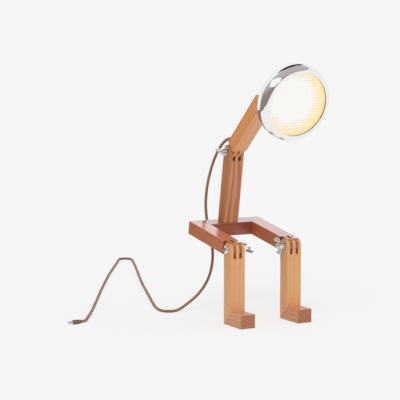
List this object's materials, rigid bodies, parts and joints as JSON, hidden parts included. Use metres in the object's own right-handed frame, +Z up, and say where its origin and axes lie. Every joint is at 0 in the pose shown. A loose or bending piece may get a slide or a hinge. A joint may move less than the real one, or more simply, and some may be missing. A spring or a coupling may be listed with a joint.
{
  "type": "desk lamp",
  "caption": "Wooden desk lamp in the shape of a seated figure, with finger-jointed knees and neck, wing nuts and a chrome headlamp for a head.",
  "frame": {"origin": "middle of the box around the lamp without its cord, on the plane the feet stand on", "axes": "+Z up, the longest extent; the figure faces -Y; X is across the lamp, its shortest extent, with +X the figure's own left"},
  "size_m": [0.3808, 0.786, 0.3976],
  "materials": {
    "wood": "lacquered hardwood, warm tan",
    "dowel": "plain beech",
    "chrome": "polished chrome plate",
    "hardware": "bright zinc plate",
    "brass": "plain brass",
    "lens": "clear fluted glass",
    "reflector": "bright anodised",
    "gasket": "matt black",
    "holder": "white ceramic-like plastic",
    "lamp": "frosted white",
    "bush": "dark brown",
    "cord": "brown woven sleeve",
    "plug": "brown moulding",
    "pin": "bright plate"
  },
  "bodies": {
    "seat": {"hip_bar": "wood", "thigh_left": "wood", "thigh_right": "wood", "torso_post": "wood", "hip_dowels": "dowel", "torso_dowels": "dowel", "neck_bolt": "hardware", "neck_washer": "hardware", "cord": "cord", "plug_body": "plug", "plug_pin": "pin"},
    "leg_left": {"shin_left": "wood", "foot_left": "wood", "heel_dowel_left": "dowel", "left_knee_bolt": "hardware", "left_knee_washer": "hardware"},
    "leg_right": {"shin_right": "wood", "foot_right": "wood", "heel_dowel_right": "dowel", "right_knee_bolt": "hardware", "right_knee_washer": "hardware"},
    "head": {"neck_piece": "wood", "neck_insert": "brass", "mount_stud": "brass", "mount_boss": "chrome", "head_shell": "chrome", "bezel_ring": "chrome", "rim_clip": "hardware", "bezel_screw": "hardware", "lens_gasket": "gasket", "glass_lens": "lens", "reflector": "reflector", "lamp_holder": "holder", "led_capsule": "lamp", "cable_bush": "bush", "inner_lead": "cord"},
    "knee_nut_left": {"left_knee_wing_nut": "hardware"},
    "knee_nut_right": {"right_knee_wing_nut": "hardware"},
    "neck_nut": {"neck_wing_nut": "hardware"}
  },
  "joints": [
    {"name": "knee_left", "type": "hinge", "parent": "seat", "child": "leg_left", "pos_m": [0.05, -0.00666, 0.115], "axis": [-1, 0, 0], "range_deg": [-20, 181]},
    {"name": "knee_right", "type": "hinge", "parent": "seat", "child": "leg_right", "pos_m": [-0.05, -0.00666, 0.115], "axis": [-1, 0, 0], "range_deg": [-20, 181]},
    {"name": "neck", "type": "hinge", "parent": "seat", "child": "head", "pos_m": [0, 0.08174, 0.25501], "axis": [1, 0, 0], "range_deg": [-80, 60], "deforming": ["cord"]},
    {"name": "left_knee_nut", "type": "hinge", "parent": "leg_left", "child": "knee_nut_left", "pos_m": [0.0286, -0.00666, 0.115], "axis": [-1, 0, 0], "range_deg": [0, 360]},
    {"name": "right_knee_nut", "type": "hinge", "parent": "leg_right", "child": "knee_nut_right", "pos_m": [-0.0286, -0.00666, 0.115], "axis": [1, 0, 0], "range_deg": [0, 360]},
    {"name": "neck_nut", "type": "hinge", "parent": "seat", "child": "neck_nut", "pos_m": [-0.021, 0.08174, 0.25501], "axis": [-1, 0, 0], "range_deg": [0, 360]}
  ]
}
